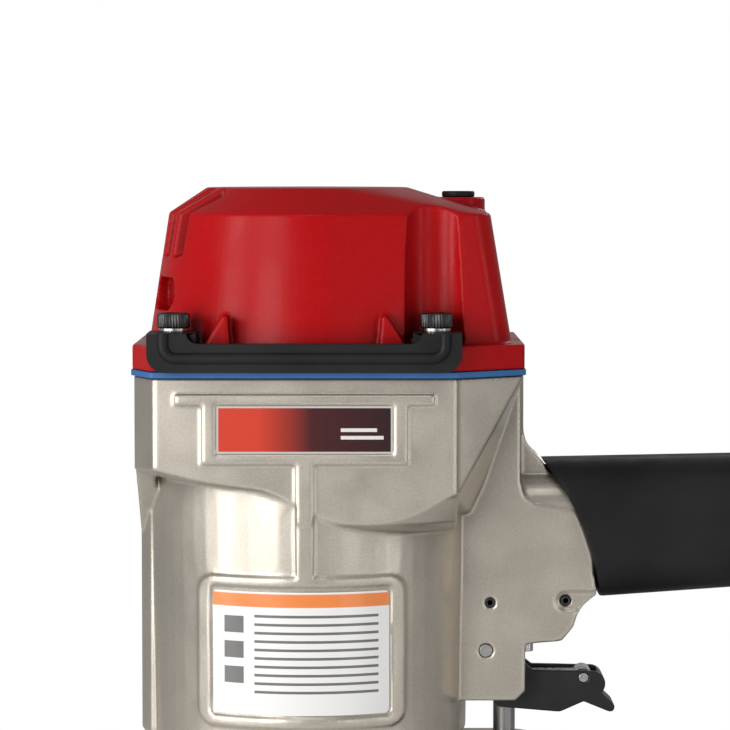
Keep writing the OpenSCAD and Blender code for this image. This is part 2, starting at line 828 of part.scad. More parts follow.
module magazine_arm() {
    x = handle_end - 20;
    color("darkgray") difference() {
        union() {
            side_plate(15.5, 21.5) difference() {
                polygon([
                    [x, 184.9], [x + 21, 184.9], [x + 21, 172], [163, 76], [161, 30], [149.5, 30],
                    [149.5, 82], [x, 170]
                ]);
                polygon([[x + 4, 164], [x + 11, 166], [160.5, 92], [156, 86]]);
            }
            translate([x, -10, 179]) cube([21, 31, 5.9]);
        }
        for (x = [-1, 1]) translate([handle_end - 9 + 5 * x, 0, 170]) cylinder(r = 2.1, h = 20);
        for (z = [42, 68]) translate([156.5, 10, z]) rotate([-90, 0, 0]) cylinder(r = 2.6, h = 30);
    }
}

module magazine_bolts() {
    color("dimgray") {
        for (x = [-1, 1]) translate([handle_end - 9 + 5 * x, 0, 0]) {
            translate([0, 0, 176]) cylinder(r = 3.5, h = 3);
            translate([0, 0, 178]) cylinder(r = 2, h = 12);
        }
        for (z = [42, 68]) translate([156.5, 0, z]) rotate([-90, 0, 0]) {
            translate([0, 0, 12.9]) cylinder(r = 3.8, h = 2.6);
            translate([0, 0, 15]) cylinder(r = 2.5, h = 17);
        }
    }
}

// ---------- trigger and its valve ----------

module trigger_side() {
    difference() {
        hull() {
            translate(trigger_pin) circle(r = 4);
            translate([62, 149]) circle(r = 2.5);
            translate([80, 148]) circle(r = 3);
        }
        translate([70.5, 170]) circle(r = 9);
    }
    hull() {
        translate([66, 153.5]) square([1, 5]);
        translate([lever_pin[0] + 3, lever_pin[1] - 2]) circle(r = 4);
        translate([80, 148]) circle(r = 3);
    }
    hull() {
        translate([88, 152]) circle(r = 3.4);
        translate([96.5, 146.5]) circle(r = 1.5);
    }
}

module trigger() {
    color("black") difference() {
        side_plate(-8, 8) trigger_side();
        translate([50, -5.5, 150.6]) cube([42.5, 11, 30]);
        cross_pin(trigger_pin[0], trigger_pin[1], 2.05, 20);
        cross_pin(lever_pin[0], lever_pin[1], 1.55, 20);
        translate([50, -5.5, 130]) cube([17, 11, 50]);
    }
}

module trigger_pivot_pin() {
    color("silver") cross_pin(trigger_pin[0], trigger_pin[1], 2, web_half);
}

module contact_lever() {
    z = lever_pin[1];
    color("silver") difference() {
        union() {
            translate([59.5, -4.4, z - 1.6]) cube([28.5, 8.8, 3]);
            cross_pin(lever_pin[0], z, 3, 4.4);
        }
        cross_pin(lever_pin[0], z, 1.55, 20);
    }
}

module contact_lever_pin() {
    color("silver") cross_pin(lever_pin[0], lever_pin[1], 1.5, 8);
}

stem_z = lever_pin[1] + 7.5;

module valve_housing() {
    color("gray") difference() {
        union() {
            translate([valve_x, 0, 174]) cylinder(r = 12.9, h = 12);
            translate([valve_x, 0, 167.6]) cylinder(r = 8.2, h = 7);
            translate([valve_x, 0, 185]) cylinder(r = 10.9, h = 18);
        }
        translate([valve_x, 0, 160]) cylinder(r = 2.55, h = 60);
        translate([valve_x, 0, 182]) cylinder(r = 5, h = 19);
        for (p = valve_pins) cross_pin(p[0], p[1], 1.55, 40);
    }
}

module valve_stem() {
    color("silver") union() {
        translate([valve_x, 0, stem_z]) cylinder(r = 2.5, h = 24);
        translate([valve_x, 0, 182.2]) cylinder(r = 4.6, h = 2.5);
    }
}

module valve_spring() {
    color("silver") translate([valve_x, 0, 184.8]) coil_spring(3.8, 0.45, 6, 16);
}

module valve_roll_pins() {
    color("black") for (p = valve_pins) difference() {
        cross_pin(p[0], p[1], 1.5, web_half - 0.4);
        cross_pin(p[0], p[1], 0.8, 40);
    }
}

// ---------- handle ----------

grip_edge = [15.7, 176];
grip_edge_r = 77.1;

// Everything in front of the grip's curved front edge
module grip_front() {
    polygon(concat([[0, 120], [80, 120]],
        [for (a = [-20 : 3 : 61]) grip_edge + grip_edge_r * [cos(a), sin(a)]], [[0, 270]]));
}

module grip() {
    color("black") difference() {
        intersection() {
            handle_solid(grip_t);
            translate([60, -40, 150]) cube([handle_end - 62, 80, 100]);
        }
        handle_solid(0.03);
        side_plate(-40, 40) grip_front();
        translate([handle_end - 24, -12, 150]) cube([40, 24, handle_z - 150 - 10]);
    }
}

module end_cap() {
    color("dimgray") difference() {
        union() {
            for (step = [[13, 0], [16.5, 1.5], [19, 4]])
                translate([handle_end + 0.05, 0, handle_z]) rotate([90, 0, 90]) linear_extrude(step[0])
                    offset(r = 12 - step[1], $fn = 32) square([13.2, 18], center = true);
            translate([handle_end + 10, 0, handle_z]) rotate([0, 90, 0]) cylinder(r = 11.5, h = 14);
        }
        translate([handle_end - 1, 0, handle_z]) rotate([0, 90, 0]) cylinder(r = 12.2, h = 13);
        translate([handle_end, 0, handle_z]) rotate([0, 90, 0]) cylinder(r = 6.65, h = 40);
        for (y = [-12.2, 12.2], z = [-14, 14])
            translate([handle_end - 1, y, handle_z + z]) rotate([0, 90, 0]) {
                cylinder(r = 1.6, h = 30);
                translate([0, 0, 11]) cylinder(r = 3, h = 20);
            }
    }
}

module end_cap_bolts() {
    color("dimgray") for (y = [-12.2, 12.2], z = [-14, 14])
        translate([handle_end, y, handle_z + z]) rotate([0, 90, 0]) difference() {
            union() {
                translate([0, 0, -12]) cylinder(r = 1.5, h = 23);
                translate([0, 0, 10.05]) cylinder(r = 2.75, h = 3);
            }
            translate([0, 0, 11.5]) cylinder(r = 1.44, h = 3, $fn = 6);
        }
}

module air_filter() {
    color("whitesmoke") translate([handle_end + 0.5, 0, handle_z]) rotate([0, 90, 0]) ring(12, 8, 11);
}

module air_plug() {
    color("gold") translate([handle_end + 13, 0, handle_z]) rotate([0, 90, 0]) difference() {
        union() {
            cylinder(r = 6.6, h = 12);
            translate([0, 0, 11.1]) cylinder(r = 9, h = 7, $fn = 6);
            translate([0, 0, 18]) cylinder(r = 6.2, h = 4);
            translate([0, 0, 22]) cylinder(r1 = 4.2, r2 = 4.2, h = 6);
            translate([0, 0, 27]) cylinder(r = 5.9, h = 5);
            translate([0, 0, 32]) cylinder(r1 = 5.9, r2 = 3.9, h = 2);
            translate([0, 0, 34]) cylinder(r = 3.9, h = 9);
        }
        translate([0, 0, -1]) cylinder(r = 2.8, h = 60);
    }
}

// ---------- nodes ----------

main_body();
cylinder_cap();
cap_gasket();
left_bumper();
right_bumper();
cap_bolts();
cap_washers();
cap_plug();
cylinder_liner();  // cylinder
cylinder_seals();
check_band();
piston_bumper();
piston();
piston_ring();
driver_blade();
head_valve();
head_valve_ring();
head_valve_spring();
piston_stop();
name_plate();
information_label();
nose();
nose_bolts();
nose_door();
door_hinge_pin();  // door_pin
door_latch();
latch_pin();
check_pawl();
check_pawl_pin();
feed_cylinder();
feed_end_plug();
feed_piston();
feed_spring();
feed_pawl();
feed_pawl_pin();
contact_arm();
contact_foot();
depth_dial();
arm_spring();
magazine_canister();
magazine_cover();
magazine_hinge_pin();
nail_platform();
magazine_foot();
magazine_arm();
magazine_bolts();
trigger();
trigger_pivot_pin();  // trigger_pin
contact_lever();
contact_lever_pin();  // lever_pin
valve_housing();
valve_stem();
valve_spring();
valve_roll_pins();
grip();
end_cap();
end_cap_bolts();
air_filter();
air_plug();
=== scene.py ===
import json
import math

import bmesh
import bpy
from mathutils import Matrix, Vector
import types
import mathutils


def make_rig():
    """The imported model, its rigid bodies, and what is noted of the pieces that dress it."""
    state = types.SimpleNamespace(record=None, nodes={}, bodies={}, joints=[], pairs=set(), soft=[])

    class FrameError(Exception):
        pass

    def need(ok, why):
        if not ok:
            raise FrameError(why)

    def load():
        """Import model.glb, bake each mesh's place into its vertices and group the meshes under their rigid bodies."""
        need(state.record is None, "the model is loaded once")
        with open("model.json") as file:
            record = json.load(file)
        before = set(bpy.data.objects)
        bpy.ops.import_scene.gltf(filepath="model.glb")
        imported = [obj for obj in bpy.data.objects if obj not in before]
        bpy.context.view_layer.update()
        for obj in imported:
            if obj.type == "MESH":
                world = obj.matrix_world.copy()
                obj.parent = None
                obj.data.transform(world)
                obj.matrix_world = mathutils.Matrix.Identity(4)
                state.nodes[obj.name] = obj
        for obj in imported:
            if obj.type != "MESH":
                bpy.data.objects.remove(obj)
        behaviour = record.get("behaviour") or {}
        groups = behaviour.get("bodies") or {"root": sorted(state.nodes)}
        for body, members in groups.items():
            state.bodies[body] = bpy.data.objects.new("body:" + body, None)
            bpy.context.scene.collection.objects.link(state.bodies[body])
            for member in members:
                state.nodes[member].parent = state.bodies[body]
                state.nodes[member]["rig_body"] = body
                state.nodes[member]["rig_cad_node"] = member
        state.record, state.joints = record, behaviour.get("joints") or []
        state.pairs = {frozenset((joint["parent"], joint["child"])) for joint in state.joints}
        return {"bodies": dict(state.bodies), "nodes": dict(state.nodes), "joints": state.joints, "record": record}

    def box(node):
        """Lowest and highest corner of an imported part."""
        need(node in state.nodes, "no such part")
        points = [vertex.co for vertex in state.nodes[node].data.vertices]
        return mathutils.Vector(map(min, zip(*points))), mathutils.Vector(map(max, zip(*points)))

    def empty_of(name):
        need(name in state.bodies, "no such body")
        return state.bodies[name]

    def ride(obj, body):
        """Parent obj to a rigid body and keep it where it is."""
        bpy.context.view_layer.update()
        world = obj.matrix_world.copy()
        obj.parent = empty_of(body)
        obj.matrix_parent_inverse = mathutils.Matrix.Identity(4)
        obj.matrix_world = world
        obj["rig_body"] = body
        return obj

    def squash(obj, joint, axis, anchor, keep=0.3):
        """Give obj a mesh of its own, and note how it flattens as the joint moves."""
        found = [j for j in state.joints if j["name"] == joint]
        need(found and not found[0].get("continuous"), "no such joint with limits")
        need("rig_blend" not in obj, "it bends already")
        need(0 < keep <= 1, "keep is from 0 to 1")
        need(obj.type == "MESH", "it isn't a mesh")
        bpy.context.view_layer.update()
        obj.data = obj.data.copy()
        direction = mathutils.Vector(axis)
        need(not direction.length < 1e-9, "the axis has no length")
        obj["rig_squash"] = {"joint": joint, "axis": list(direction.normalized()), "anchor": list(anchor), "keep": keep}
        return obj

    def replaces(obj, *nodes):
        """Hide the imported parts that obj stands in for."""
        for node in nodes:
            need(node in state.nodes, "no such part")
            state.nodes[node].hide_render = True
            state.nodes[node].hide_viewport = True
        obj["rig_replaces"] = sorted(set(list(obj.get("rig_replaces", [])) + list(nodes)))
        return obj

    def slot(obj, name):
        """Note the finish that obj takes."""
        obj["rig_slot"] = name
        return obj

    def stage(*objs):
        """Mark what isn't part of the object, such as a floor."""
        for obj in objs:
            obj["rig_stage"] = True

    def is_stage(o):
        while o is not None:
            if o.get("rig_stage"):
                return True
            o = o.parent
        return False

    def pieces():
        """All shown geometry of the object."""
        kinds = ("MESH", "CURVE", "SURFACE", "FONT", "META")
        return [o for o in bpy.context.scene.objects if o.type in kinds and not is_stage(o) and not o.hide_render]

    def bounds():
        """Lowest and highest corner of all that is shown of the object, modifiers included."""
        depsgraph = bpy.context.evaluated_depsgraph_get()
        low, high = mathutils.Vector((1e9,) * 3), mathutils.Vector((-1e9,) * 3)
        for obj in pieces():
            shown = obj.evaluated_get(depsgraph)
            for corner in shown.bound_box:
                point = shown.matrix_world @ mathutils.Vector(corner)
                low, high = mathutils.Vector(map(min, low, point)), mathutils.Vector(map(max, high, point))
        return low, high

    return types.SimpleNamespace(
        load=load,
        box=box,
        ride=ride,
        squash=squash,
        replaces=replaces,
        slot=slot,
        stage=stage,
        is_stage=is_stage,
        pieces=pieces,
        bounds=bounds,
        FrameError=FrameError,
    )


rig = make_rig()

MM = 0.001  # the frame is in metres, and the sizes below are in millimetres unless they say otherwise

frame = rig.load()
NODES = frame["nodes"]
BODY_OF = {n: b for b, members in frame["record"]["behaviour"]["bodies"].items() for n in members}
SLOT_OF = {s["node"]: s["material_slot"] for s in frame["record"]["subparts"]}


def write_size(key):
    path = "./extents.json"
    sizes = {}
    if key != "cad":
        sizes = json.load(open(path))
    low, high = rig.bounds()
    sizes[key] = {"low": list(low), "high": list(high)}
    json.dump(sizes, open(path, "w"), indent=1)


write_size("cad")


# ---------------------------------------------------------------- materials

def new_material(name):
    mat = bpy.data.materials.new(name)
    mat.use_nodes = True
    return mat, mat.node_tree.nodes, mat.node_tree.links, mat.node_tree.nodes["Principled BSDF"]


def set_inputs(shader, **values):
    for key, value in values.items():
        shader.inputs[key.replace("_", " ")].default_value = value


def coords(nodes):
    return nodes.new("ShaderNodeTexCoord").outputs["Object"]


def noise(nodes, links, scale, detail=3.0, rough=0.5):
    node = nodes.new("ShaderNodeTexNoise")
    node.inputs["Scale"].default_value = scale
    node.inputs["Detail"].default_value = detail
    node.inputs["Roughness"].default_value = rough
    links.new(coords(nodes), node.inputs["Vector"])
    return node.outputs["Fac"]


def spread(nodes, links, fac, low, high, from_low=0.35, from_high=0.65):
    """Maps a value onto a range of one number. The range it comes from is a noise value's, if none is given."""
    node = nodes.new("ShaderNodeMapRange")
    node.inputs["From Min"].default_value = from_low
    node.inputs["From Max"].default_value = from_high
    node.inputs["To Min"].default_value = low
    node.inputs["To Max"].default_value = high
    links.new(fac, node.inputs["Value"])
    return node.outputs["Result"]


def blend_colours(nodes, links, fac, a, b):
    """Colour a where the factor is 0 and b where it is 1. Each is a plain colour or another node's output."""
    node = nodes.new("ShaderNodeMix")
    node.data_type = "RGBA"
    for key, value in (("A", a), ("B", b)):
        if isinstance(value, tuple):
            node.inputs[key].default_value = (*value, 1)
        else:
            links.new(value, node.inputs[key])
    links.new(fac, node.inputs["Factor"])
    return node.outputs["Result"]


def bump(nodes, links, shader, height, strength, distance):
    node = nodes.new("ShaderNodeBump")
    node.inputs["Strength"].default_value = strength
    node.inputs["Distance"].default_value = distance
    links.new(height, node.inputs["Height"])
    links.new(node.outputs["Normal"], shader.inputs["Normal"])


# how far and how finely the painted shade in corners and grooves looks around
GROOVE_REACH = 0.009   # metres
GROOVE_SAMPLES = 4
CORNER_SHADE_TONE = 0.22     # share of the shade colour that is left in a deep groove, as painted shade


def painted_corner_shade(nodes, links, colour, shade):
    """Painted shade: darkens a colour in corners and grooves, where shade falls."""
    corner = nodes.new("ShaderNodeAmbientOcclusion")
    corner.samples = GROOVE_SAMPLES
    corner.inputs["Distance"].default_value = GROOVE_REACH
    openness = spread(nodes, links, corner.outputs["AO"], 0, 1, 0.15, 0.88)
    return blend_colours(nodes, links, openness, tuple(CORNER_SHADE_TONE * c for c in shade), colour)


def paint(name, colour, shade, metallic, rough, coat, flake=2600, grain=0.00001, shine=0.5):
    """Sprayed paint on a casting: fine flake, faint orange peel, roughness that wanders a little, and painted shade in
    its corners and grooves.
    """
    mat, nodes, links, shader = new_material(name)
    set_inputs(shader, Metallic=metallic, Coat_Weight=coat, Coat_Roughness=0.12, Specular_IOR_Level=shine)
    speck = noise(nodes, links, flake, 2.0, 0.6)
    flakes = blend_colours(nodes, links, spread(nodes, links, speck, 0, 1), shade, colour)
    # the base colour carries painted shade in corners and grooves
    links.new(painted_corner_shade(nodes, links, flakes, shade), shader.inputs["Base Color"])
    links.new(spread(nodes, links, noise(nodes, links, 60), rough - 0.05, rough + 0.06), shader.inputs["Roughness"])
    bump(nodes, links, shader, noise(nodes, links, 900, 4.0, 0.6), 0.35, grain)
    return mat


def moulded(name, colour, rough, grain_scale=1500, grain=0.00002, shine=0.5):
    """Rubber or plastic with a fine moulded grain."""
    mat, nodes, links, shader = new_material(name)
    set_inputs(shader, Specular_IOR_Level=shine)
    tone = spread(nodes, links, noise(nodes, links, 45), 0, 1)
    lighter = tuple(min(1.0, c * 1.18 + 0.004) for c in colour)
    links.new(blend_colours(nodes, links, tone, colour, lighter), shader.inputs["Base Color"])
    links.new(spread(nodes, links, noise(nodes, links, 120), rough - 0.07, rough + 0.08), shader.inputs["Roughness"])
    bump(nodes, links, shader, noise(nodes, links, grain_scale, 3.0, 0.7), 0.4, grain)
    return mat


TOOL_LINE_SCALE = 700
TOOL_LINE_DEPTH = 0.00001   # metres


def metal(name, colour, rough, stretch=(1, 1, 1)):
    """Machined or plated metal, with faint tool lines along one direction."""
    mat, nodes, links, shader = new_material(name)
    set_inputs(shader, Metallic=1.0)
    mapping = nodes.new("ShaderNodeMapping")
    mapping.inputs["Scale"].default_value = stretch
    links.new(coords(nodes), mapping.inputs["Vector"])
    lines = nodes.new("ShaderNodeTexNoise")
    lines.inputs["Scale"].default_value = TOOL_LINE_SCALE
    lines.inputs["Detail"].default_value = 4.0
    links.new(mapping.outputs["Vector"], lines.inputs["Vector"])
    tone = spread(nodes, links, noise(nodes, links, 80), 0, 1)
    darker = tuple(c * 0.82 for c in colour)
    links.new(blend_colours(nodes, links, tone, darker, colour), shader.inputs["Base Color"])
    links.new(spread(nodes, links, lines.outputs["Fac"], rough - 0.06, rough + 0.1), shader.inputs["Roughness"])
    bump(nodes, links, shader, lines.outputs["Fac"], 0.3, TOOL_LINE_DEPTH)
    return mat


def banded(name, axis, stops, rough, coat, frame_of):
    """Printed film: colours that run from stop to stop along one axis, under the bars and the border of its frame.
    The stops' edges are in metres."""
    mat, nodes, links, shader = new_material(name)
    set_inputs(shader, Roughness=rough, Coat_Weight=coat, Coat_Roughness=0.08)
    split = nodes.new("ShaderNodeSeparateXYZ")
    links.new(coords(nodes), split.inputs[0])
    low, high = stops[0][0], stops[-1][0]
    fac = spread(nodes, links, split.outputs[axis], 0, 1, low, high)
    ramp = nodes.new("ShaderNodeValToRGB")
    ramp.color_ramp.interpolation = "LINEAR"
    while len(ramp.color_ramp.elements) < len(stops):
        ramp.color_ramp.elements.new(0.5)
    for element, (edge, colour) in zip(ramp.color_ramp.elements, stops):
        element.position = (edge - low) / (high - low)
        element.color = (*colour, 1)
    links.new(fac, ramp.inputs["Fac"])
    links.new(bordered(nodes, links, split, ramp.outputs["Color"], *frame_of), shader.inputs["Base Color"])
    return mat


def band(nodes, links, value, centre, half):
    """1 where a value lies within half of the centre, else 0."""
    node = nodes.new("ShaderNodeMath")
    node.operation = "COMPARE"
    node.inputs[1].default_value = centre
    node.inputs[2].default_value = half
    links.new(value, node.inputs[0])
    return node.outputs[0]


def both(nodes, links, a, b):
    """1 where both masks are 1, else 0."""
    node = nodes.new("ShaderNodeMath")
    node.operation = "MULTIPLY"
    links.new(a, node.inputs[0])
    links.new(b, node.inputs[1])
    return node.outputs[0]


def bordered(nodes, links, split, colour, centre, half, rim, edge_colour, bars):
    """Bars of plain colour on a film, and a border round it. Places and half widths are along X and Z, in metres."""
    x, z = split.outputs["X"], split.outputs["Z"]
    for (bar_x, bar_z, half_x, half_z), bar_colour in bars:
        mask = both(nodes, links, band(nodes, links, x, bar_x, half_x), band(nodes, links, z, bar_z, half_z))
        colour = blend_colours(nodes, links, mask, colour, bar_colour)
    inside = both(nodes, links, band(nodes, links, x, centre[0], half[0] - rim),
                  band(nodes, links, z, centre[1], half[1] - rim))
    return blend_colours(nodes, links, inside, edge_colour, colour)


WHITE, ORANGE = (0.86, 0.85, 0.83), (0.85, 0.25, 0.06)
MAROON, EMBER, DUSK = (0.06, 0.006, 0.008), (0.62, 0.045, 0.018), (0.022, 0.004, 0.006)
STEEL, SILVER, GREY = (0.55, 0.52, 0.49), (0.75, 0.73, 0.70), (0.16, 0.155, 0.15)

# Each frame: the middle, the half sizes, the border's width and colour, then each bar's middle, half sizes and colour.
PLATE_STOPS = [(-0.0268, EMBER), (-0.014, EMBER), (0.002, MAROON), (0.0268, DUSK)]
PLATE_FRAME = ((0, 0.23885), (0.0268, 0.00725), 0.0006, STEEL, [
    ((0.0175, 0.2365, 0.0065, 0.00055), SILVER),
    ((0.0165, 0.2388, 0.0055, 0.00055), SILVER)])
LABEL_STOPS = [(0.150, WHITE), (0.1843, WHITE), (0.18435, ORANGE), (0.1884, ORANGE), (0.18845, WHITE), (0.190, WHITE)]
LABEL_RULES = [((0.0035, 0.1815 - 0.0026 * k, 0.0190, 0.00042), GREY) for k in range(10)]
LABEL_SQUARES = [((-0.0218, 0.1788 - 0.0078 * k, 0.0030, 0.0026), GREY) for k in range(3)]
LABEL_FRAME = ((-0.0013, 0.17), (0.04, 0.0187), 0.0, WHITE, LABEL_RULES + LABEL_SQUARES)

MATERIALS = {
    "body_paint": paint("body_paint", (0.64, 0.585, 0.505), (0.52, 0.475, 0.405), 0.80, 0.34, 0.08),
    "red_paint": paint("red_paint", (0.45, 0.005, 0.007), (0.39, 0.004, 0.006), 0.0, 0.30, 0.0,
                       flake=1600, grain=0.000006, shine=0.13),
    "gasket_blue": moulded("gasket_blue", (0.03, 0.13, 0.34), 0.45, shine=0.35),
    "rubber_black": moulded("rubber_black", (0.009, 0.009, 0.010), 0.50, 1300, 0.00004, 0.2),
    "black_steel": metal("black_steel", (0.075, 0.073, 0.075), 0.38),
    "zinc_steel": metal("zinc_steel", (0.62, 0.61, 0.58), 0.28, (1, 1, 6)),
    "bare_aluminium": metal("bare_aluminium", (0.74, 0.74, 0.75), 0.32, (1, 1, 8)),
    "tool_steel": metal("tool_steel", (0.36, 0.355, 0.35), 0.36, (1, 1, 5)),
    "amber_urethane": moulded("amber_urethane", (0.60, 0.26, 0.03), 0.42),
    "natural_plastic": moulded("natural_plastic", (0.66, 0.64, 0.56), 0.45),
    "black_plastic": moulded("black_plastic", (0.013, 0.013, 0.014), 0.42, 1800, 0.00003, 0.35),
    "maroon_plate": banded("maroon_plate", "X", PLATE_STOPS, 0.25, 0.6, PLATE_FRAME),
    "white_label": banded("white_label", "Z", LABEL_STOPS, 0.3, 0.4, LABEL_FRAME),
    "brass_plug": metal("brass_plug", (0.80, 0.56, 0.22), 0.25, (8, 1, 1)),
}


def give_material(obj, slot):
    obj.data.materials.clear()
    obj.data.materials.append(MATERIALS[slot])


for node, obj in NODES.items():
    give_material(obj, SLOT_OF[node])


# ---------------------------------------------------------------- refining the CAD pieces

def settle(obj):
    """Applies an object's modifiers to its mesh."""
    graph = bpy.context.evaluated_depsgraph_get()
    mesh = bpy.data.meshes.new_from_object(obj.evaluated_get(graph))
    obj.modifiers.clear()
    obj.data = mesh


def add_piece(name, mesh, node):
    """A new shown piece that rides with the CAD node's body and stands for it."""
    obj = bpy.data.objects.new(name, mesh)
    bpy.context.scene.collection.objects.link(obj)
    finish_of = SLOT_OF[node]
    give_material(obj, finish_of)
    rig.ride(obj, BODY_OF[node])
    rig.replaces(obj, node)
    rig.slot(obj, finish_of)
    return obj


def smooth_by_angle(obj, degrees):
    obj.data.shade_smooth()
    obj.data.set_sharp_from_angle(angle=math.radians(degrees))


def cast(node, voxel, rounds, faces, fills=()):
    """A casting: the CAD solid with its hidden hollow filled, resampled and relaxed so that every edge has a soft
    radius, then thinned to about this many triangles. A fill's size is a radius and a height, or a box's sides."""
    mesh = NODES[node].data.copy()
    bm = bmesh.new()
    bm.from_mesh(mesh)
    for kind, place, size in fills:
        at = Matrix.Translation(Vector(place) * MM)
        if kind == "cylinder":
            radius, height = size[0] * MM, size[1] * MM
            bmesh.ops.create_cone(bm, cap_ends=True, segments=96, radius1=radius, radius2=radius, depth=height,
                                  matrix=at)
        else:
            bmesh.ops.create_cube(bm, size=1, matrix=at @ Matrix.Diagonal((*(c * MM for c in size), 1)))
    bm.to_mesh(mesh)
    bm.free()
    obj = add_piece(node + "_cast", mesh, node)
    step = obj.modifiers.new("resample", "REMESH")
    step.mode = "VOXEL"
    step.voxel_size = voxel * MM
    step = obj.modifiers.new("relax", "SMOOTH")
    step.factor = 0.5
    step.iterations = rounds
    settle(obj)
    if len(obj.data.polygons) * 2 > faces:
        step = obj.modifiers.new("thin", "DECIMATE")
        step.ratio = faces / (len(obj.data.polygons) * 2)
        settle(obj)
    obj.data.shade_smooth()
    give_material(obj, SLOT_OF[node])


SAME_POINT = 0.000002        # metres
FLAT_WITHIN = 1.0            # degrees between triangles of one flat face
BEVEL_ABOVE = 30             # degrees
CRISP_SMOOTH_BELOW = 35
KNURL_SMOOTH_BELOW = 32


def crisp(node, width):
    """A machined, pressed or moulded piece: the CAD faces joined up again and their edges bevelled."""
    mesh = NODES[node].data.copy()
    bm = bmesh.new()
    bm.from_mesh(mesh)
    bmesh.ops.remove_doubles(bm, verts=bm.verts, dist=SAME_POINT)
    bmesh.ops.dissolve_limit(bm, angle_limit=math.radians(FLAT_WITHIN), verts=bm.verts, edges=bm.edges)
    bm.to_mesh(mesh)
    bm.free()
    obj = add_piece(node + "_fine", mesh, node)
    step = obj.modifiers.new("edges", "BEVEL")
    step.width = width * MM
    step.segments = 2
    step.limit_method = "ANGLE"
    step.angle_limit = math.radians(BEVEL_ABOVE)
    step.harden_normals = False
    settle(obj)
    smooth_by_angle(obj, CRISP_SMOOTH_BELOW)
    step = obj.modifiers.new("normals", "WEIGHTED_NORMAL")
    step.keep_sharp = True


STEPS_A_TURN = 28
CLOSED_TURNS = 0.75   # turns at each end that lie flat


def spring(node, axis, radius, wire, turns, joint, travel):
    """A wound compression spring along the CAD node's own length, with closed ends. Its high end stays put, and it
    shortens by the travel as the joint goes to its limit. Wire is the wire's radius."""
    low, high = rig.box(node)
    middle = (low + high) / 2
    along = {"X": 0, "Z": 2}[axis]
    start, end = low[along], high[along]
    count = int(turns * STEPS_A_TURN)
    closed = CLOSED_TURNS / turns
    points = []
    for i in range(count + 1):
        turn = 2 * math.pi * i / STEPS_A_TURN
        share = i / count
        rise = min(1.0, max(0.0, (share - closed) / (1 - 2 * closed)))
        height = start + wire * MM + (end - start - 2 * wire * MM) * rise
        a, b = radius * MM * math.cos(turn), radius * MM * math.sin(turn)
        points.append((middle.x + a, middle.y + b, height) if axis == "Z" else (height, middle.y + a, middle.z + b))
    curve = bpy.data.curves.new(node + "_wire", "CURVE")
    curve.dimensions = "3D"
    line = curve.splines.new("POLY")
    line.points.add(len(points) - 1)
    for p, co in zip(line.points, points):
        p.co = (*co, 1)
    curve.bevel_depth = wire * MM
    curve.bevel_resolution = 3
    curve.use_fill_caps = True
    holder = bpy.data.objects.new(node + "_wire", curve)
    bpy.context.scene.collection.objects.link(holder)
    graph = bpy.context.evaluated_depsgraph_get()
    mesh = bpy.data.meshes.new_from_object(holder.evaluated_get(graph))
    bpy.data.objects.remove(holder)
    obj = add_piece(node + "_coil", mesh, node)
    obj.data.shade_smooth()
    direction, fixed = [0, 0, 0], list(middle)
    direction[along], fixed[along] = 1, end
    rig.squash(obj, joint, axis=direction, anchor=fixed, keep=1 - travel * MM / (end - start))


TOOTH = (0.0, 0.13, 0.26, 0.13)   # how far one tooth of the knurl is cut in, round its steps
SIXTH = math.pi / 3


def socket_heads(node, places, radius, low, high, teeth, socket_r, shank_r, shank_low):
    """Cap screws with knurled heads, as one piece: a toothed rim, a chamfered top and a hexagon socket."""
    bm = bmesh.new()
    count = teeth * len(TOOTH)
    for x, y in places:
        rings = []
        # radius, height and how much of the knurl it has
        profile = [(shank_r, shank_low, 0), (shank_r, low, 0), (radius - 0.35, low, 0), (radius, low + 0.35, 1),
                   (radius, high - 0.7, 1), (radius - 0.25, high - 0.3, 0.3), (radius - 0.75, high, 0),
                   (socket_r + 0.5, high, 0), (socket_r + 0.05, high - 0.35, 0), ("hex", high - 0.45, 0),
                   ("hex", high - 2.4, 0)]
        for r, z, knurl in profile:
            ring = []
            for i in range(count):
                turn = 2 * math.pi * i / count
                if r == "hex":
                    part = (turn + SIXTH / 2) % SIXTH - SIXTH / 2
                    reach = socket_r * math.cos(SIXTH / 2) / math.cos(part)
                else:
                    reach = r - knurl * TOOTH[i % len(TOOTH)]
                place = (x + reach * math.cos(turn), y + reach * math.sin(turn), z)
                ring.append(bm.verts.new(tuple(c * MM for c in place)))
            rings.append(ring)
        for below, above in zip(rings, rings[1:]):
            for i in range(count):
                k = (i + 1) % count
                bm.faces.new((below[i], below[k], above[k], above[i]))
        bm.faces.new(list(reversed(rings[0])))
        bm.faces.new(rings[-1])
    bmesh.ops.recalc_face_normals(bm, faces=bm.faces)
    mesh = bpy.data.meshes.new(node)
    bm.to_mesh(mesh)
    bm.free()
    obj = add_piece(node + "_knurled", mesh, node)
    smooth_by_angle(obj, KNURL_SMOOTH_BELOW)


# castings, with the hollows of the body and the cap filled where nothing shows
cast("main_body", 0.55, 5, 190000, [
    ("cylinder", (0, 0, 192.3), (47.3, 124)), ("cylinder", (0, 0, 129.2), (9.6, 5)),
    ("cylinder", (69.8, 0, 180), (13.4, 13)), ("box", (202, 0, 206), (6.5, 29, 32))])
cast("cylinder_cap", 0.5, 5, 190000, [("cylinder", (0, 0, 278.5), (37.5, 44))])
cast("magazine_arm", 0.6, 4, 60000)
cast("grip", 0.7, 3, 90000)
cast("end_cap", 0.5, 3, 60000)
cast("trigger", 0.35, 3, 40000)

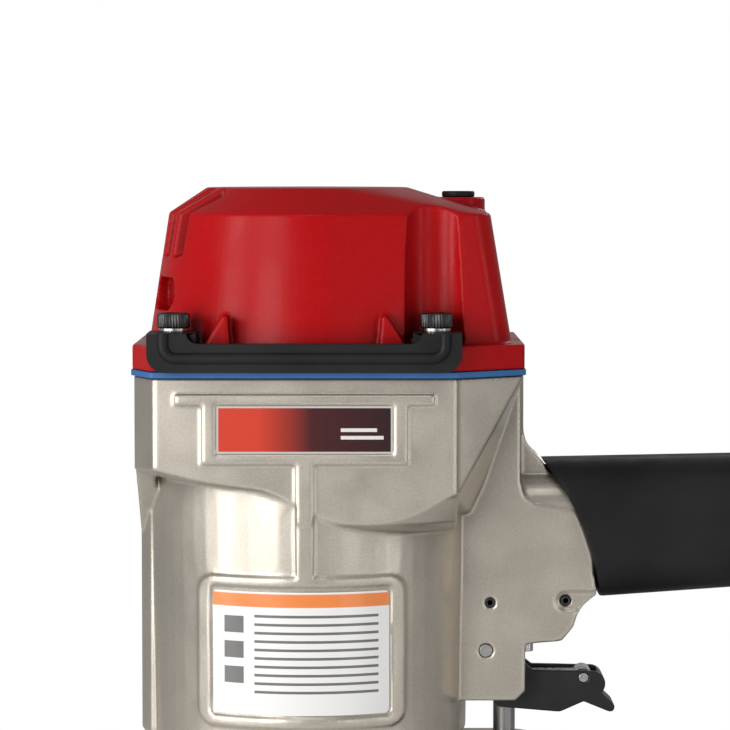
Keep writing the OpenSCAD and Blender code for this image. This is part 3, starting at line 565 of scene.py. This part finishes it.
# turned, milled, pressed and moulded pieces, each with its bevel's width
for node, width in {
    "cap_gasket": 0.25, "left_bumper": 0.45, "right_bumper": 0.45, "cap_washers": 0.15, "cap_plug": 0.5,
    "cylinder": 0.2, "check_band": 0.2, "piston": 0.3, "driver_blade": 0.2, "head_valve": 0.3,
    "nose": 0.5, "nose_bolts": 0.3, "nose_door": 0.5, "door_pin": 0.3, "door_latch": 0.35, "latch_pin": 0.2,
    "check_pawl": 0.2, "check_pawl_pin": 0.15, "feed_cylinder": 0.5, "feed_end_plug": 0.3, "feed_piston": 0.2,
    "feed_pawl": 0.2, "feed_pawl_pin": 0.15, "contact_arm": 0.4, "contact_foot": 0.35, "depth_dial": 0.4,
    "magazine_canister": 0.4, "magazine_cover": 0.5, "magazine_hinge_pin": 0.3, "nail_platform": 0.3,
    "magazine_foot": 0.8, "magazine_bolts": 0.3, "trigger_pin": 0.2, "contact_lever": 0.3, "lever_pin": 0.2,
    "valve_housing": 0.4, "valve_stem": 0.2, "valve_roll_pins": 0.2, "end_cap_bolts": 0.25, "air_filter": 0.3,
    "air_plug": 0.3,
}.items():
    crisp(node, width)

spring("head_valve_spring", "Z", 20, 1.0, 5, "head_valve_lift", 3.9)
spring("arm_spring", "Z", 5.2, 0.6, 6, "contact_travel", 9.5)
spring("valve_spring", "Z", 3.8, 0.45, 6, "stem_lift", 2.6)
spring("feed_spring", "X", 4.8, 0.5, 3, "feed_stroke", 7.4)

head_low, head_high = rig.box("cap_bolts")
HEAD_RADIUS, HEAD_HEIGHT = 5, 4.6
corner_x, corner_y = (head_high.x / MM) - HEAD_RADIUS, (head_high.y / MM) - HEAD_RADIUS
socket_heads("cap_bolts", [(sx * corner_x, sy * corner_y) for sx in (-1, 1) for sy in (-1, 1)], radius=HEAD_RADIUS,
             low=head_high.z / MM - HEAD_HEIGHT, high=head_high.z / MM, teeth=36, socket_r=2.31, shank_r=3,
             shank_low=head_low.z / MM)


# ---------------------------------------------------------------- stage, lights and camera

BLACK, PURE_WHITE = (0, 0, 0, 1), (1, 1, 1, 1)
STAGE_RADIUS = 4.0                    # metres
FLOOR_SIDES = 96
WALL_SIDES, WALL_RINGS = 48, 17
HAZE_HEIGHT = 0.0003
HAZE_STARTS, HAZE_FULL = 0.30, 0.74   # metres from the middle


def stage_mesh(name, verts, faces, mat):
    mesh = bpy.data.meshes.new(name)
    mesh.from_pydata(verts, [], faces)
    obj = bpy.data.objects.new(name, mesh)
    bpy.context.scene.collection.objects.link(obj)
    obj.data.materials.append(mat)
    obj.data.shade_smooth()
    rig.stage(obj)
    return obj


def glow(name, strength):
    """A plain white light-giving surface for the surround and the rim card."""
    mat, _, _, shader = new_material(name)
    set_inputs(shader, Base_Color=BLACK, Emission_Color=PURE_WHITE, Emission_Strength=strength, Roughness=1.0)
    return mat


def seen_by(obj, camera=False, glossy=False):
    obj.visible_camera, obj.visible_glossy = camera, glossy
    obj.visible_diffuse = obj.visible_transmission = obj.visible_shadow = obj.visible_volume_scatter = False


def fading(name, near, far):
    """White light that comes in with the distance from the middle; clear near the object."""
    mat, nodes, links, shader = new_material(name)
    set_inputs(shader, Base_Color=BLACK, Roughness=1.0, Specular_IOR_Level=0.0, Emission_Color=PURE_WHITE,
               Emission_Strength=1.0)
    length = nodes.new("ShaderNodeVectorMath")
    length.operation = "LENGTH"
    links.new(coords(nodes), length.inputs[0])
    reach = nodes.new("ShaderNodeMapRange")
    reach.interpolation_type = "SMOOTHSTEP"
    reach.inputs["From Min"].default_value = near
    reach.inputs["From Max"].default_value = far
    links.new(length.outputs["Value"], reach.inputs["Value"])
    links.new(reach.outputs["Result"], shader.inputs["Alpha"])
    return mat


def circle(sides):
    """Angles evenly round a circle."""
    return [2 * math.pi * k / sides for k in range(sides)]


def dome():
    """Points and faces of a round wall that starts below the floor and closes in overhead."""
    tilts = [math.pi * k / 24 - math.pi / 6 for k in range(WALL_RINGS)]
    points = [(STAGE_RADIUS * math.cos(a) * math.cos(b), STAGE_RADIUS * math.sin(a) * math.cos(b),
               STAGE_RADIUS * math.sin(b)) for b in tilts for a in circle(WALL_SIDES)]
    quads = []
    for k in range(WALL_RINGS - 1):
        below, above = WALL_SIDES * k, WALL_SIDES * (k + 1)
        for i in range(WALL_SIDES):
            beside = (i + 1) % WALL_SIDES
            quads.append((below + i, below + beside, above + beside, above + i))
    return points, quads


# the floor, and over it a haze that only the camera sees
floor_paint, _, _, shader = new_material("floor_paint")
set_inputs(shader, Base_Color=(0.80, 0.80, 0.80, 1), Roughness=0.75)
around = [(STAGE_RADIUS * math.cos(a), STAGE_RADIUS * math.sin(a), 0) for a in circle(FLOOR_SIDES)]
whole = [tuple(range(FLOOR_SIDES))]
stage_mesh("floor", around, whole, floor_paint)
haze = stage_mesh("floor_haze", [(x, y, HAZE_HEIGHT) for x, y, _ in around], whole,
                  fading("haze_white", HAZE_STARTS, HAZE_FULL))
seen_by(stage_mesh("surround", *dome(), glow("surround_white", 1.0)), camera=True)
seen_by(haze, camera=True)
# a card behind the object that only shows in its gloss
rim = stage_mesh("rim_card", [(-0.30, 1.0, -0.1), (0.36, 1.0, -0.1), (0.36, 1.0, 0.9), (-0.30, 1.0, 0.9)],
                 [(0, 1, 2, 3)], glow("rim_white", 0.4))
seen_by(rim, glossy=True)


def area_light(name, place, target, size, power):
    """A soft white light in watts, out of the camera's sight."""
    light = bpy.data.lights.new(name, "AREA")
    light.shape = "RECTANGLE"
    light.size, light.size_y = size
    light.energy = power
    obj = bpy.data.objects.new(name, light)
    bpy.context.scene.collection.objects.link(obj)
    obj.location = place
    obj.rotation_euler = (Vector(target) - Vector(place)).to_track_quat("-Z", "Y").to_euler()
    obj.visible_camera = False


area_light("key", (-0.80, -0.52, 0.36), (-0.02, 0, 0.24), (0.22, 0.62), 3.3)
area_light("near", (-0.30, -0.56, 0.34), (-0.02, 0, 0.24), (0.20, 0.46), 1.6)
area_light("front_left", (-0.17, -0.62, 0.30), (-0.02, 0, 0.22), (0.16, 0.34), 0.17)
area_light("front_right", (0.15, -0.62, 0.22), (0.06, 0, 0.18), (0.12, 0.30), 0.022)
area_light("near_right", (0.36, -0.60, 0.24), (0.05, 0, 0.2), (0.20, 0.40), 0.3)
area_light("fill", (0.85, -0.50, 0.32), (0.03, 0, 0.2), (0.08, 0.70), 0.9)
area_light("top", (-0.1, -0.75, 1.15), (0.02, 0, 0.25), (0.7, 0.3), 1.2)
area_light("back", (0.7, 0.8, 0.8), (0.05, 0, 0.2), (0.5, 0.5), 2.0)

world = bpy.data.worlds.new("studio")
world.use_nodes = True
sky = world.node_tree.nodes["Background"]
set_inputs(sky, Color=PURE_WHITE, Strength=0.26)
bpy.context.scene.world = world
bpy.context.scene.view_settings.view_transform = "Standard"

CAMERA_DIP = 3.59   # degrees below level

lens = bpy.data.cameras.new("photo_view")
lens.sensor_width = 36
lens.lens = 161.3
lens.clip_start, lens.clip_end = 0.05, 20
camera = bpy.data.objects.new("photo_view", lens)
bpy.context.scene.collection.objects.link(camera)
camera.location = (0.01835, -1.042, 0.3207)
camera.rotation_euler = (math.radians(90 - CAMERA_DIP), 0, 0)
bpy.context.scene.camera = camera

write_size("finished")
